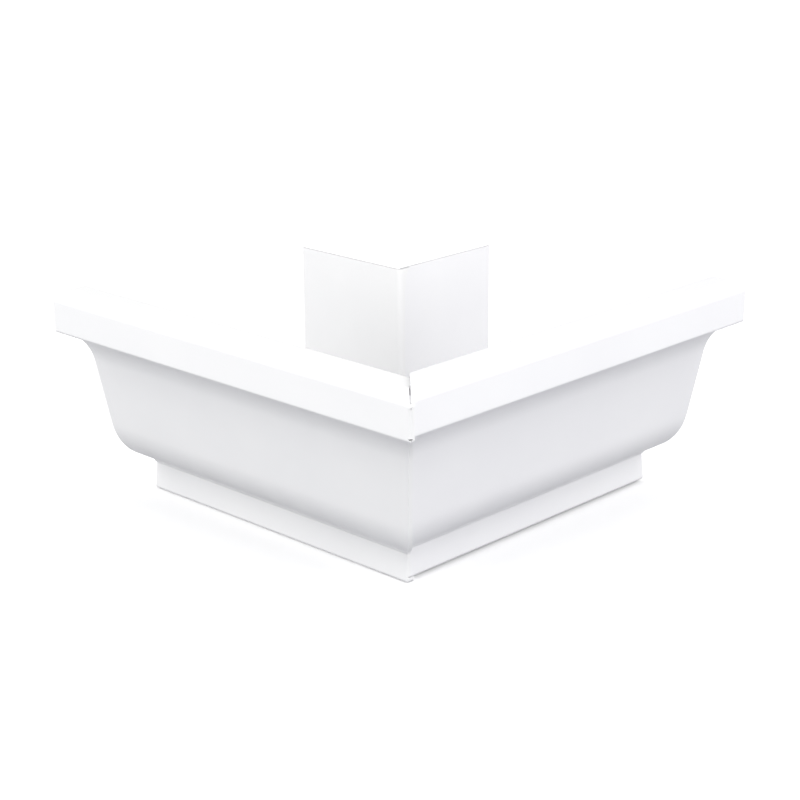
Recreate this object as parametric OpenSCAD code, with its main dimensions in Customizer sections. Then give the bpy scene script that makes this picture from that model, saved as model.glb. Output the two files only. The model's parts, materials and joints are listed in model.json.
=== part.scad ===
// Gutter external angle: the outside corner of a moulded-front (ogee) rain gutter.
// Two mitred legs of folded sheet. The left leg's mitred edge is folded round the corner
// as a narrow flange that laps over the right leg, outside the front and the bottom and
// inside the back wall.
//
// Frame: the origin is the corner of the building, where the two fascia faces meet,
// level with the underside of the gutter. The right leg runs along +X and the left leg
// along +Y, both on the outer side of their fascia, and +Z is up.
//
// A section is drawn as u, z: u is the distance in from the face of the lip towards
// the fascia, z the height over the underside.

/* [Leg] */
// Length of each leg along the lip, from the corner to the open end
leg_length = 181; // [160:1:300]
// Thickness of the coated sheet
sheet_t = 0.7; // [0.5:0.05:0.9]
// Inside radius of the tight bends
bend_r = 0.6; // [0.4:0.1:0.9]

/* [Trough] */
// Width over the lip and the back wall
gutter_w = 127; // [120:1:140]
// Height of the back wall
back_h = 83.5; // [60:0.5:100]
// How far the kick's upper fold lies behind the face of the lip
kick_inset = 44.6; // [42:0.2:50]
// Height of the kick, the short foot under the belly
kick_h = 10.9; // [8:0.1:14]
// Outward lean of the kick from upright, in degrees
kick_lean = 6.3; // [0:0.1:8]

/* [Ogee front] */
// Slope of the lip's underside below level, in degrees
under_slope = 20; // [10:1:25]
// How far behind the lip's face the cove's two slopes cross
cove_inset = 15; // [13:0.2:17]
// Radius of the cove under the lip
cove_r = 18; // [12:0.5:20]
// Slope of the straight part of the front below level, in degrees
front_slope = 76.5; // [74:0.5:80]
// Radius of the belly
belly_r = 24; // [16:0.5:28]
// Slope of the belly's foot below level, in degrees
belly_slope = 30; // [26:1:34]
// Flat of the small pressed step between the belly and the kick
jog_flat = 0.15; // [0.1:0.05:0.4]
// Turn of the step out of the belly's slope, in degrees
jog_turn = 45; // [30:5:50]

/* [Lip] */
// Height of the lip's upper front edge
lip_h = 86.5; // [82:0.5:100]
// Height of the lip's upright face
lip_face_h = 12.4; // [9:0.2:16]
// Width of the return over the lip
return_w = 16.5; // [14:0.5:20]
// How far the return's crown stands over the front edge
crown_rise = 2.4; // [1.5:0.1:3]
// Width of the return's sloping front strip
crown_run = 6.5; // [5:0.5:8]
// Radius of the crown
crown_r = 4; // [2:0.5:6]
// Outside radius of the return's inner edge
hook_r = 2.2; // [1.6:0.1:2.5]
// Drop of the hook under the return, which the hangers grip
hook_drop = 8; // [6:0.5:9]

/* [Mitre seam] */
// Clearance between the lapped sheets
lap_gap = 0.3; // [0.2:0.05:0.4]
// Width of the folded flange over the front and the bottom
flange_w = 1.8; // [1.6:0.1:4]
// Width of the flange inside the back wall
back_flange_w = 3; // [2.6:0.1:4.5]
// Width of the flange's ear at the top of the back wall
ear_w = 6; // [5:0.5:9]
// Height over which the ear narrows to the flange
ear_h = 13; // [6:0.5:20]
// Radius of the fold at the lip
lip_fold_r = 1.2; // [1:0.1:1.5]
// Radius of the fold at the back corner, on the trough's side
back_fold_r = 2; // [1.5:0.1:2.5]
// Width of the tab at the foot of the flange
tab_w = 3.2; // [2.8:0.2:6]
// Height of the tab
tab_h = 1.8; // [1.8:0.1:3]
// Height of the slit between the tab and the flange
slit_h = 0.8; // [0.4:0.1:1.2]
// Diameter of the relief hole at the foot of the lip's fold
relief_d = 1.4; // [0.8:0.1:1.6]
// Width of the open notch between the two returns
notch_w = 0.2; // [0.1:0.1:0.8]
// Length of the notch, in from the face of the lip
notch_l = 7; // [5:0.5:9]
// Width of the tongue that the left return slides under the right one
tongue_w = 1.6; // [1:0.2:3]

/* [Hidden] */
$fn = 64;

// Outside radius of the tight bends
bend_out = bend_r + sheet_t;
// Step from the left leg's sheet to the right leg's: one sheet and the clearance
lap = sheet_t + lap_gap;
// Open end of a leg, from the fascia corner
leg_end = leg_length - gutter_w;
// Height of the lip's lower front edge
lip_foot = lip_h - lip_face_h;
// Length that cutting shapes reach past the part
past = 20;
// Length of a cutting shape that spans the whole part
span = 2 * leg_length;
// Steps of an arc in degrees, on a wide curve and on a tight bend, and the radius between
wide_step = 5;
tight_step = 15;
wide_from = 10;

// Corners of the section's outer line, each with its radius on that line
cove = [cove_inset, lip_foot - cove_inset * tan(under_slope)];
kick_top = [kick_inset, kick_h];
kick_foot = [kick_inset - kick_h * tan(kick_lean), 0];
// Length of sheet from the kick up to the small step, and of the step itself
jog_run = jog_flat + bend_out * tan(jog_turn / 2) + bend_r * tan((90 - belly_slope + kick_lean) / 2);
jog_drop = jog_flat + (bend_r + bend_out) * tan(jog_turn / 2);
jog_foot = kick_top + jog_run * [-cos(belly_slope), sin(belly_slope)];
jog_top = jog_foot + jog_drop * [-cos(belly_slope + jog_turn), sin(belly_slope + jog_turn)];
belly = crossing(cove, -front_slope, jog_top, 180 - belly_slope);

function section_line(wall_top) = [
    [return_w, lip_h + crown_rise - hook_drop, 0],
    [return_w, lip_h + crown_rise, hook_r],
    [crown_run, lip_h + crown_rise, crown_r],
    [0, lip_h, bend_out],
    [0, lip_foot, bend_out],
    [cove.x, cove.y, cove_r],
    [belly.x, belly.y, belly_r],
    [jog_top.x, jog_top.y, bend_r],
    [jog_foot.x, jog_foot.y, bend_out],
    [kick_top.x, kick_top.y, bend_r],
    [kick_foot.x, kick_foot.y, bend_out],
    [gutter_w, 0, bend_out],
    [gutter_w, wall_top, 0],
];

// Where the line through p at angle a crosses the line through q at angle b
function crossing(p, a, q, b) =
    let (d = q - p, k = (d.x * sin(b) - d.y * cos(b)) / sin(b - a))
    p + k * [cos(a), sin(a)];

function heading(p, q) = atan2(q.y - p.y, q.x - p.x);
function turn_of(a, b) = (b - a + 540) % 360 - 180;

// Points of one side of a strip along a line with rounded corners.
// side is the distance to the left of the line: 0 for the line itself.
function rounded(line, side) = [
    for (i = [0 : len(line) - 1])
        let (
            last = len(line) - 1,
            p = [line[i].x, line[i].y],
            a = heading(line[max(i - 1, 0)], line[max(i, 1)]),
            b = heading(line[min(i, last - 1)], line[min(i + 1, last)]),
            turn = turn_of(a, b),
            r = sign(turn) * line[i].z,
            reach = r * tan(turn / 2),
            centre = p - reach * [cos(a), sin(a)] + r * [-sin(a), cos(a)],
            step = abs(r) > wide_from ? wide_step : tight_step,
            steps = max(3, ceil(abs(turn) / step))
        )
        each r == 0
            ? [p + side * [-sin(a), cos(a)]]
            : [for (k = [0 : steps])
                let (h = a + turn * k / steps)
                centre + (r - side) * [sin(h), -cos(h)]]
];

function reversed(list) = [for (i = [len(list) - 1 : -1 : 0]) list[i]];

// Strip of sheet on the left of a line with rounded corners
module strip(line) {
    polygon(concat(rounded(line, 0), reversed(rounded(line, sheet_t))));
}

// Folded sheet along X, its lip's face at y = -gutter_w
module sheet_along_x(from, to, wall_top) {
    translate([from, -gutter_w, 0])
        rotate([90, 0, 90])
            linear_extrude(to - from)
                strip(section_line(wall_top));
}

// Everything on the right leg's side of the plane x - y = offset
module right_of_mitre(offset) {
    low = -gutter_w - past;
    translate([0, 0, -past])
        linear_extrude(lip_h + 3 * past)
            polygon([[low + offset, low], [span + offset, span], [span + offset, low]]);
}

// Everything on the left leg's side of the plane x - y = offset
module left_of_mitre(offset) {
    low = -gutter_w - past;
    translate([0, 0, -past])
        linear_extrude(lip_h + 3 * past)
            polygon([[low + offset, low], [low + offset, span], [span + offset, span]]);
}

// The left leg's sheet up to the fold
module left_sheet() {
    intersection() {
        mirror([1, -1, 0])
            sheet_along_x(-gutter_w - past, leg_end, back_h);
        left_of_mitre(lap);
    }
}

// The sheet carried on round the fold, as wide as asked
module folded_edge(width) {
    intersection() {
        translate([0, -lap, 0])
            sheet_along_x(-gutter_w - past, leg_end, back_h);
        right_of_mitre(lap);
        left_of_mitre(lap + width);
    }
}

// The flange ends at the lip's upper edge. The tab at its foot is wider, and a tongue
// goes on from the flat of the return.
module flange() {
    difference() {
        folded_edge(flange_w);
        translate([-gutter_w - past, -gutter_w - lap + sheet_t, lip_fold_from])
            cube([gutter_w, gutter_w, 3 * past]);
    }
    intersection() {
        folded_edge(tab_w);
        translate([-gutter_w, -gutter_w - past, -past])
            cube([gutter_w, kick_inset + past + tab_w, past + tab_h]);
    }
    intersection() {
        folded_edge(tongue_w);
        translate([-gutter_w, -gutter_w - lap + tongue_from, lip_h])
            cube([gutter_w, return_w - hook_r - tongue_from, past]);
    }
}

// Upright fold: sheet bent round a vertical edge, out to run along +X
module upright_fold(inset, r, run, from, to) {
    translate([0, 0, from])
        linear_extrude(to - from)
            strip([
                [-inset, -inset - lap + r, 0],
                [-inset, -inset - lap, r],
                [-inset + run, -inset - lap, 0],
            ]);
}

// Levels between which each fold is round; past them the sheet is mitred sharp
lip_fold_from = lip_foot + bend_out;
lip_fold_to = lip_h - bend_out;
back_fold_from = 2 * bend_out;
// Where the tongue starts, clear of the right return's crown
tongue_from = crown_run + 2 * lap;
// Face of the back wall's fold towards the fascia, along Y
back_fold_top = back_fold_r - sheet_t - lap;

// The back corner's fold and its flange, with an ear that narrows downwards
module back_fold() {
    edge = -sheet_t + back_flange_w;
    tip = -sheet_t + ear_w;
    difference() {
        upright_fold(sheet_t, back_fold_r, ear_w, back_fold_from, back_h);
        translate([0, past, 0])
            rotate([90, 0, 0])
                linear_extrude(2 * past)
                    polygon(concat(
                        [for (a = [0 : tight_step : 90])
                            [tip - (tip - edge) * cos(a), back_h - ear_h + ear_h * sin(a)]],
                        [[tip + past, back_h], [tip + past, 0], [edge, 0]]
                    ));
    }
}

module left_leg() {
    color([0.93, 0.93, 0.92]) {
        difference() {
            union() {
                left_sheet();
                flange();
            }
            // the lip's corner makes way for its round fold
            translate([-gutter_w - past, -gutter_w - lap - past, lip_fold_from])
                cube([past + lip_fold_r, past + lip_fold_r, lip_fold_to - lip_fold_from]);
            // and so does the back wall, above its bend
            translate([-2 * sheet_t, -2 * lap, back_fold_from])
                cube([past, 2 * lap + back_fold_top, back_h]);
            // slit over the tab
            intersection() {
                right_of_mitre(lap + bend_r);
                translate([-gutter_w, -gutter_w - past, tab_h])
                    cube([gutter_w - past, gutter_w, slit_h]);
            }
            // notch between the two returns
            intersection() {
                right_of_mitre(lap - notch_w * sqrt(2));
                translate([-gutter_w - past, -gutter_w - past, lip_h])
                    cube([past + notch_l, past + notch_l, past]);
            }
            // relief hole at the foot of the lip's fold
            translate([-gutter_w, -gutter_w - lap, lip_fold_from])
                rotate([90, 0, -45])
                    cylinder(d = relief_d, h = past, center = true);
        }
        upright_fold(gutter_w, lip_fold_r, flange_w, lip_fold_from, lip_fold_to);
        back_fold();
    }
}

module right_leg() {
    color([0.96, 0.96, 0.97])
        difference() {
            intersection() {
                translate([0, 0, lap])
                    sheet_along_x(-gutter_w - past, leg_end, back_h - lap);
                right_of_mitre(lap + lap_gap);
            }
            // the back wall starts clear of the left leg's fold
            translate([-past, -sheet_t, -past])
                cube([past + back_fold_r - sheet_t, past, back_h + 2 * past]);
            // its foot starts clear of the flange's foot
            translate([-past, -lap - sheet_t - lap_gap, -past])
                cube([past + flange_w + lap_gap, past, past + back_fold_from + lap_gap]);
        }
}

left_leg();
right_leg();
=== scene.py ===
import json
from math import cos, radians, sin

import bpy
from mathutils import Matrix, Vector

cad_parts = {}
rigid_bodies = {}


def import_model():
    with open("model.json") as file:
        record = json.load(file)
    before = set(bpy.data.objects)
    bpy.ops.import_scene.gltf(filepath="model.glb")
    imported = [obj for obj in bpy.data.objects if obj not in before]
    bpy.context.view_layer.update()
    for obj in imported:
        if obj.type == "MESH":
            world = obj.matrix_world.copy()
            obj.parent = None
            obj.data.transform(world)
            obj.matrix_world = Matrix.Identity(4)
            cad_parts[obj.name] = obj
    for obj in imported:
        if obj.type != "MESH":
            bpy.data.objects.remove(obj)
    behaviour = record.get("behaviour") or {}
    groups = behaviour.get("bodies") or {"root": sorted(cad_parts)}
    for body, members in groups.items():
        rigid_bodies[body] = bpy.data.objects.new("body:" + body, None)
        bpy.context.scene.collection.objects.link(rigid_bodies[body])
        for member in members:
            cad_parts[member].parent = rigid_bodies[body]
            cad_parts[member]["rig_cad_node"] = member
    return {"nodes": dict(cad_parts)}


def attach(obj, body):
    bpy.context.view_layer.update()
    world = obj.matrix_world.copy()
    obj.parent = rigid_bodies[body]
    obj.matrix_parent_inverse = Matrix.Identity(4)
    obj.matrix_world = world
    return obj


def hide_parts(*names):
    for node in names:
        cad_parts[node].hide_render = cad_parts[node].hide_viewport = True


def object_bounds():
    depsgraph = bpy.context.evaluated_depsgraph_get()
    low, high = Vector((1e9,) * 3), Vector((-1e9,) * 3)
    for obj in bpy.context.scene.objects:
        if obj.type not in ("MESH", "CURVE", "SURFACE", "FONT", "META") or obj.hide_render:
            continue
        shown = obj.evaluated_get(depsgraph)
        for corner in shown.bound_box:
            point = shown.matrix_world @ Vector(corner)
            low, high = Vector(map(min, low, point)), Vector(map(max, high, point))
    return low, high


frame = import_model()
cad_low, cad_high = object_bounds()


# The view
# The corner of the gutter points at the camera, from a little above the lip, through a
# moderately long lens. The picture is square, with a sensor 36 mm wide.
azimuth = radians(-45.97)
elevation = radians(18.27)
tilt = radians(-0.37)
distance = 0.730
aim = Vector((-0.0238, -0.0238, 0.0399))

back = Vector((sin(azimuth) * cos(elevation), -cos(azimuth) * cos(elevation), sin(elevation)))
level = Vector((cos(azimuth), sin(azimuth), 0))
upright = back.cross(level)
across = level * cos(tilt) + upright * sin(tilt)
up = upright * cos(tilt) - level * sin(tilt)

bpy.ops.object.camera_add(location=aim + back * distance)
camera = bpy.context.object
camera.name = "front_camera"
camera.rotation_euler = Matrix((across, up, back)).transposed().to_euler()
camera.data.sensor_width = 36
camera.data.lens = 85
camera.data.clip_start = 0.01
camera.data.clip_end = 20
bpy.context.scene.camera = camera


# The left leg
# One strip of white coated aluminium, 0.7 mm thick, folded to the ogee section and cut at
# 45 degrees. Its mitred edge is folded round the corner, over the other leg.
merge_distance = 1e-6
same_plane = radians(0.5)
smooth_below = radians(30)
flats_lead = 100
left_white = (0.872, 0.872, 0.872)
left_shade = (0.852, 0.853, 0.856)
aluminium = (0.80, 0.80, 0.81)
noise_low = 0.3
noise_high = 0.7
cloud_ripples = 28
gloss_ripples = 90
gloss_low = 0.38
gloss_high = 0.50
wave_ripples = 16
wave_height = 0.00035
peel_ripples = 1300
peel_height = 0.000012

# The cuts of the shears: the way each faces, how far out it lies that way, and the slack.
# The mitre's cuts lie anywhere.
facing = 0.85
slack = 0.0002
anywhere = 1
open_end = 0.054
wall_top = 0.0835
left_hook_foot = 0.0809
ear_edge = 0.0035
ear_slack = 0.0015
left_cuts = [
    ((1, -1, 0), 0, anywhere),
    ((0, 1, 0), open_end, slack),
    ((0, 0, 1), wall_top, slack),
    ((0, 0, -1), -left_hook_foot, slack),
    ((1, 0, 0), ear_edge, ear_slack),
]


def bare_of_doubles(node, name):
    """A copy of a leg's skin with its loose triangles joined into whole faces."""
    bpy.ops.object.select_all(action="DESELECT")
    source = frame["nodes"][node]
    source.select_set(True)
    bpy.context.view_layer.objects.active = source
    bpy.ops.object.duplicate()
    skin = bpy.context.object
    skin.name = name
    skin.data.name = name
    del skin["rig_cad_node"]
    bpy.ops.object.mode_set(mode="EDIT")
    bpy.ops.mesh.select_all(action="SELECT")
    bpy.ops.mesh.remove_doubles(threshold=merge_distance)
    bpy.ops.mesh.dissolve_limited(angle_limit=same_plane)
    bpy.ops.object.mode_set(mode="OBJECT")
    bpy.ops.object.shade_smooth_by_angle(angle=smooth_below)
    return skin


def flat_faces_stay_flat(skin):
    """Weighted normals, so that a bend's shading doesn't run out over the flats beside it."""
    bpy.ops.object.select_all(action="DESELECT")
    skin.select_set(True)
    bpy.context.view_layer.objects.active = skin
    bpy.ops.object.modifier_add(type="WEIGHTED_NORMAL")
    weighted = skin.modifiers[-1]
    weighted.keep_sharp = True
    weighted.weight = flats_lead
    bpy.ops.object.modifier_apply(modifier=weighted.name)


def mark_cut_edges(skin, cuts):
    """Mark the faces that the shears left, by the way they face and how far out they lie."""
    marks = skin.data.attributes.new("cut_edge", "FLOAT", "FACE")
    for face in skin.data.polygons:
        sheared = False
        for way, distance_out, slack_there in cuts:
            outward = Vector(way).normalized()
            off = abs(face.center.dot(outward) - distance_out)
            sheared = sheared or (face.normal.dot(outward) > facing and off < slack_there)
        marks.data[face.index].value = float(sheared)


def clouds(tree, place, scale, detail):
    """A noise pattern in the part's own metres, with this many ripples to a metre."""
    noise = tree.nodes.new("ShaderNodeTexNoise")
    noise.inputs["Scale"].default_value = scale
    noise.inputs["Detail"].default_value = detail
    tree.links.new(place.outputs["Object"], noise.inputs["Vector"])
    return noise.outputs["Fac"]


def between(tree, pattern, low, high):
    """The middle of a noise pattern spread from low to high."""
    spread = tree.nodes.new("ShaderNodeMapRange")
    spread.inputs["From Min"].default_value = noise_low
    spread.inputs["From Max"].default_value = noise_high
    spread.inputs["To Min"].default_value = low
    spread.inputs["To Max"].default_value = high
    tree.links.new(pattern, spread.inputs["Value"])
    return spread.outputs["Result"]


def relief(tree, pattern, height, under=None):
    """Bumps of a pattern, in metres, on top of those under them."""
    bump = tree.nodes.new("ShaderNodeBump")
    bump.inputs["Distance"].default_value = height
    tree.links.new(pattern, bump.inputs["Height"])
    if under:
        tree.links.new(under, bump.inputs["Normal"])
    return bump.outputs["Normal"]


def coated_sheet(name, white, shade):
    """Baked white coating: a fine orange peel and faint clouding over slightly wavy sheet.

    Along the cut edges the bare aluminium shows.
    """
    coat = bpy.data.materials.new(name)
    coat.use_nodes = True
    tree = coat.node_tree
    shader = tree.nodes["Principled BSDF"]
    place = tree.nodes.new("ShaderNodeTexCoord")

    tone = tree.nodes.new("ShaderNodeMix")
    tone.data_type = "RGBA"
    tone.inputs["A"].default_value = (*shade, 1)
    tone.inputs["B"].default_value = (*white, 1)
    clouding = between(tree, clouds(tree, place, cloud_ripples, 3), 0, 1)
    tree.links.new(clouding, tone.inputs["Factor"])

    edge = tree.nodes.new("ShaderNodeAttribute")
    edge.attribute_name = "cut_edge"
    bare = tree.nodes.new("ShaderNodeMix")
    bare.data_type = "RGBA"
    bare.inputs["B"].default_value = (*aluminium, 1)
    tree.links.new(edge.outputs["Fac"], bare.inputs["Factor"])
    tree.links.new(tone.outputs["Result"], bare.inputs["A"])
    tree.links.new(bare.outputs["Result"], shader.inputs["Base Color"])
    tree.links.new(edge.outputs["Fac"], shader.inputs["Metallic"])

    gloss = between(tree, clouds(tree, place, gloss_ripples, 4), gloss_low, gloss_high)
    tree.links.new(gloss, shader.inputs["Roughness"])

    waves = relief(tree, clouds(tree, place, wave_ripples, 1), wave_height)
    peel = relief(tree, clouds(tree, place, peel_ripples, 2), peel_height, waves)
    tree.links.new(peel, shader.inputs["Normal"])
    return coat


left_coat = coated_sheet("left_coating", left_white, left_shade)
left_skin = bare_of_doubles("left_leg", "left_leg_sheet")
flat_faces_stay_flat(left_skin)
mark_cut_edges(left_skin, left_cuts)
left_skin.data.materials.clear()
left_skin.data.materials.append(left_coat)
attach(left_skin, "root")
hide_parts("left_leg")


# The right leg
# The same strip cut to the other hand, one sheet higher, with its mitred edge plain.
# Its white and its clouded tone are a touch bluer than the left leg's: a painted cool cast of
# the light on this side.
right_white_cool_cast = (0.872, 0.871, 0.884)
right_shade_cool_cast = (0.853, 0.851, 0.868)
right_hook_foot = 0.0819
back_corner = 0.0017
back_slack = 0.0005
right_cuts = [
    ((-1, 1, 0), 0, anywhere),
    ((1, 0, 0), open_end, slack),
    ((0, 0, 1), wall_top, slack),
    ((0, 0, -1), -right_hook_foot, slack),
    ((-1, 0, 0), -back_corner, back_slack),
]
right_coat = coated_sheet("right_coating", right_white_cool_cast, right_shade_cool_cast)
right_skin = bare_of_doubles("right_leg", "right_leg_sheet")
flat_faces_stay_flat(right_skin)
mark_cut_edges(right_skin, right_cuts)
right_skin.data.materials.clear()
right_skin.data.materials.append(right_coat)
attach(right_skin, "root")
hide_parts("right_leg")


# The floor
# A plain white sheet under the bottoms. The camera sees it as pure white away from the
# part, and with the part's shadow close by. It throws less light back than it shows.
floor_size = 12
bounce = (0.255, 0.258, 0.280, 1)
shown = (0.98, 0.98, 0.98, 1)
lift_close = 0.11
lift_far = 0.45
rise_from = 0.3
rise_to = 1.2
lift_mirrored = 0.74
bpy.ops.mesh.primitive_plane_add(size=floor_size, location=(0, 0, cad_low.z))
floor = bpy.context.object
floor.name = "floor"
paper = bpy.data.materials.new("white_paper")
paper.use_nodes = True
nodes = paper.node_tree.nodes
links = paper.node_tree.links
nodes.clear()
rays = nodes.new("ShaderNodeLightPath")
colour = nodes.new("ShaderNodeMix")
colour.data_type = "RGBA"
colour.inputs["A"].default_value = bounce
colour.inputs["B"].default_value = shown
links.new(rays.outputs["Is Camera Ray"], colour.inputs["Factor"])
lit = nodes.new("ShaderNodeBsdfDiffuse")
links.new(colour.outputs["Result"], lit.inputs["Color"])
mirrored = nodes.new("ShaderNodeMath")
mirrored.operation = "MULTIPLY"
mirrored.inputs[1].default_value = lift_mirrored
links.new(rays.outputs["Is Glossy Ray"], mirrored.inputs[0])
place = nodes.new("ShaderNodeTexCoord")
away = nodes.new("ShaderNodeVectorMath")
away.operation = "LENGTH"
links.new(place.outputs["Object"], away.inputs[0])
rise = nodes.new("ShaderNodeMapRange")
rise.inputs["From Min"].default_value = rise_from
rise.inputs["From Max"].default_value = rise_to
rise.inputs["To Min"].default_value = lift_close
rise.inputs["To Max"].default_value = lift_far
links.new(away.outputs["Value"], rise.inputs["Value"])
lift = nodes.new("ShaderNodeMath")
lift.operation = "MULTIPLY_ADD"
links.new(rise.outputs["Result"], lift.inputs[1])
links.new(rays.outputs["Is Camera Ray"], lift.inputs[0])
links.new(mirrored.outputs["Value"], lift.inputs[2])
glow = nodes.new("ShaderNodeEmission")
links.new(lift.outputs["Value"], glow.inputs["Strength"])
both = nodes.new("ShaderNodeAddShader")
links.new(lit.outputs["BSDF"], both.inputs[0])
links.new(glow.outputs["Emission"], both.inputs[1])
out = nodes.new("ShaderNodeOutputMaterial")
links.new(both.outputs["Shader"], out.inputs["Surface"])
floor.data.materials.append(paper)


# The light
# An even white room, with a tall soft lamp nearly square to each leg.
room_light = 0.83
room_shown = 1.0
lamp_width = 1.4
lamp_height = 2.0
lamp_power = 25
world = bpy.data.worlds.new("white_room")
bpy.context.scene.world = world
world.use_nodes = True
nodes = world.node_tree.nodes
links = world.node_tree.links
nodes.clear()
room = nodes.new("ShaderNodeBackground")
room.inputs["Strength"].default_value = room_light
white = nodes.new("ShaderNodeBackground")
white.inputs["Strength"].default_value = room_shown
rays = nodes.new("ShaderNodeLightPath")
choice = nodes.new("ShaderNodeMixShader")
links.new(rays.outputs["Is Camera Ray"], choice.inputs["Fac"])
links.new(room.outputs["Background"], choice.inputs[1])
links.new(white.outputs["Background"], choice.inputs[2])
out = nodes.new("ShaderNodeOutputWorld")
links.new(choice.outputs["Shader"], out.inputs["Surface"])


def soft_lamp(name, place):
    """An upright area lamp that faces the part."""
    bpy.ops.object.light_add(type="AREA", location=place)
    lamp = bpy.context.object
    lamp.name = name
    lamp.rotation_euler = (Vector(place) - aim).to_track_quat("Z", "Y").to_euler()
    lamp.data.shape = "RECTANGLE"
    lamp.data.size = lamp_width
    lamp.data.size_y = lamp_height
    lamp.data.energy = lamp_power


soft_lamp("left", (-1.56, 0.25, 0.80))
soft_lamp("right", (0.25, -1.56, 0.80))

bpy.context.scene.view_settings.view_transform = "Standard"
